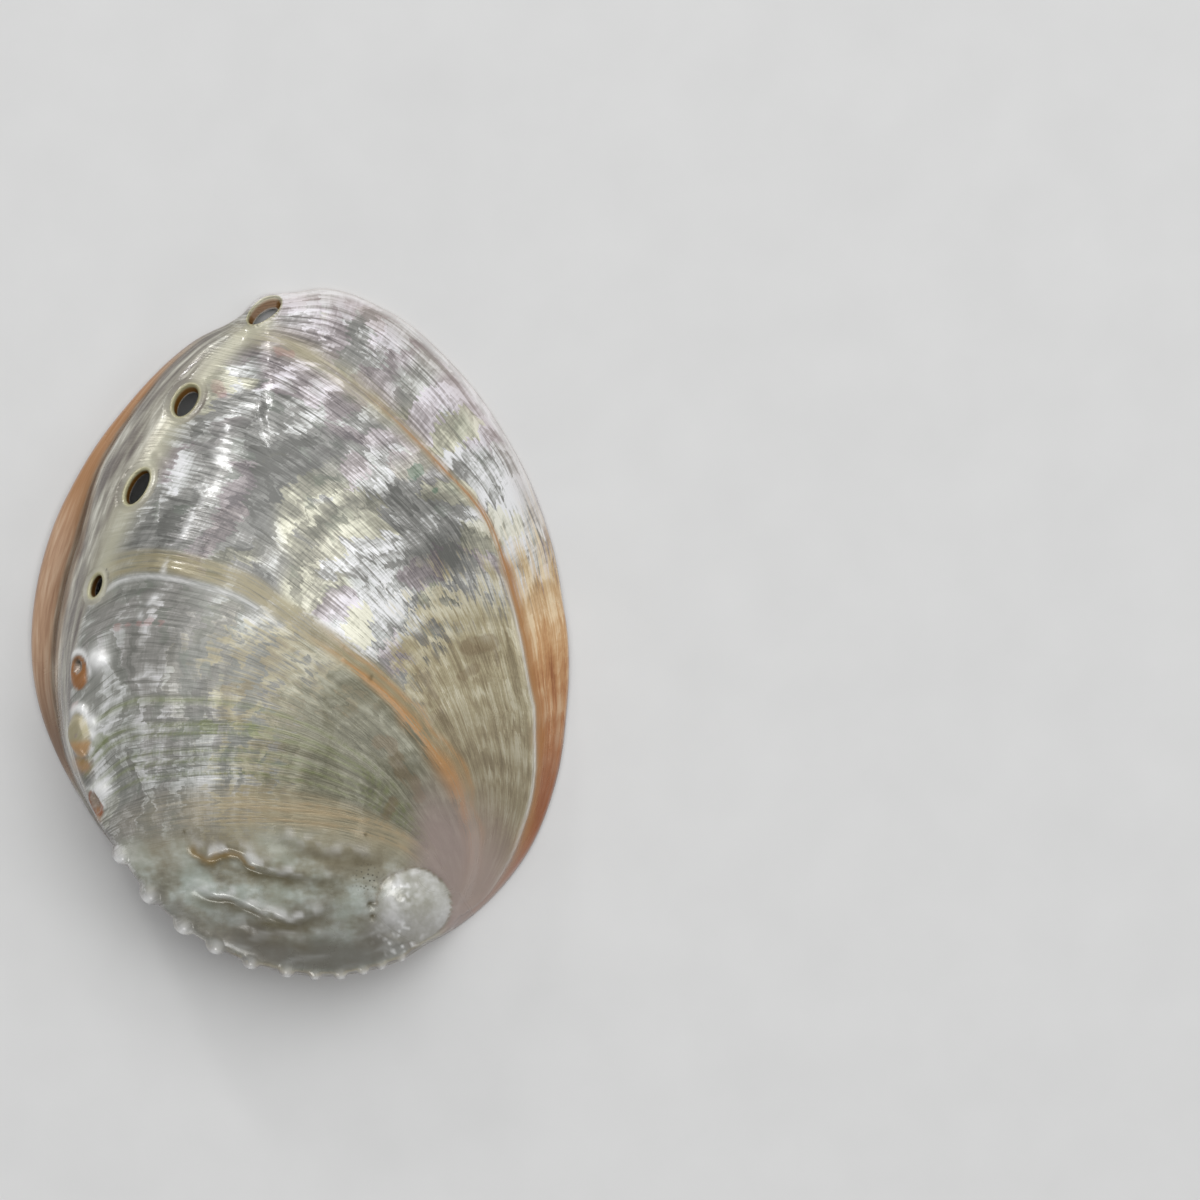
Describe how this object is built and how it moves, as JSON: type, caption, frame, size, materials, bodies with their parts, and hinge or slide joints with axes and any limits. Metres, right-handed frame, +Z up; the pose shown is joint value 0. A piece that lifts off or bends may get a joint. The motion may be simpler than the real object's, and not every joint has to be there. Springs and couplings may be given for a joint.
{
  "type": "blacklip abalone shell",
  "caption": "Polished ear-shaped sea shell with a domed ribbed back, a row of open and sealed holes along one shoulder and a shelf inside its rim.",
  "frame": {"origin": "centre of the box around the shell, on the plane its rim rests on", "axes": "+Y from the spire end to the growing edge, +Z up through the dome, so the row of holes lies on the -X side"},
  "size_m": [0.109, 0.14, 0.0355],
  "materials": {
    "nacre": "polished mother of pearl, silver grey with green, pink and orange-brown bands"
  },
  "bodies": {
    "root": {"shell": "nacre"}
  },
  "joints": []
}
